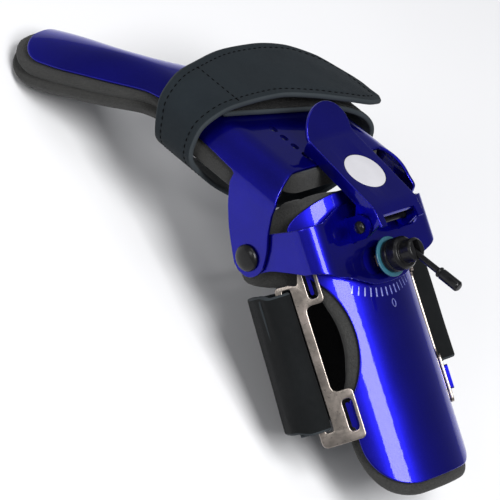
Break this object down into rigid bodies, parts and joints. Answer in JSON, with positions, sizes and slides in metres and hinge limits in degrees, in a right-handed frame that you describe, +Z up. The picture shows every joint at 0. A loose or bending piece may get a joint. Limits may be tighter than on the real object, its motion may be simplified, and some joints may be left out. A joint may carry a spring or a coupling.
{
  "type": "bowling wrist positioner glove",
  "caption": "Rigid bowling wrist positioner: padded forearm shell, pitched hand plate with index finger extension, flip lever, tilt lock and two straps.",
  "frame": {"origin": "middle of the bounding box, on the surface that the part rests on", "axes": "+Z up, +Y along the forearm towards the fingertip, +X to the little finger side of a right hand"},
  "size_m": [0.1108, 0.2844, 0.113],
  "materials": {
    "blue_paint": "gloss metallic blue",
    "black_metal": "gloss black",
    "zinc": "zinc plated, slightly iridescent",
    "yellow_zinc": "yellow zinc plated",
    "washer_blue": "satin",
    "foam": "matt closed cell foam",
    "hand_cloth": "matt coated cloth with stitched edges",
    "black_cloth": "matt loop cloth",
    "label": "bare printed film"
  },
  "bodies": {
    "forearm": {"forearm_shell": "blue_paint", "forearm_pad": "foam", "buckle_left": "zinc", "buckle_right": "zinc", "forearm_strap": "black_cloth", "lock_stud": "zinc", "lock_nut": "yellow_zinc"},
    "lock": {"lock_washer": "washer_blue", "lock_knob": "black_metal"},
    "key": {"key_handle": "black_metal"},
    "wrist_yoke": {"yoke": "blue_paint", "lever_pin": "black_metal", "rivet_left": "black_metal", "rivet_right": "black_metal"},
    "hand": {"hand_plate": "blue_paint", "hand_pad": "foam", "hand_strap": "hand_cloth"},
    "flip_lever": {"lever": "blue_paint", "lever_label": "label"}
  },
  "joints": [
    {"name": "wrist_tilt", "type": "hinge", "parent": "forearm", "child": "wrist_yoke", "pos_m": [-0.00025, -0.02259, 0.09314], "axis": [0, -0.3517, 0.9361], "range_deg": [-8, 8]},
    {"name": "wrist_pitch", "type": "hinge", "parent": "wrist_yoke", "child": "hand", "pos_m": [-0.00025, -0.01485, 0.05546], "axis": [1, 0, 0], "range_deg": [-25, 0]},
    {"name": "lever_flip", "type": "hinge", "parent": "wrist_yoke", "child": "flip_lever", "pos_m": [-0.00025, -0.0325, 0.09647], "axis": [1, 0, 0], "range_deg": [0, 60]},
    {"name": "lock_turn", "type": "hinge", "parent": "forearm", "child": "lock", "pos_m": [-0.00025, -0.04799, 0.09108], "axis": [0, -0.3517, 0.9361], "range_deg": [-90, 90]},
    {"name": "key_swing", "type": "hinge", "parent": "lock", "child": "key", "pos_m": [-0.00025, -0.05151, 0.10044], "axis": [1, 0, 0], "range_deg": [-48, 30]}
  ]
}
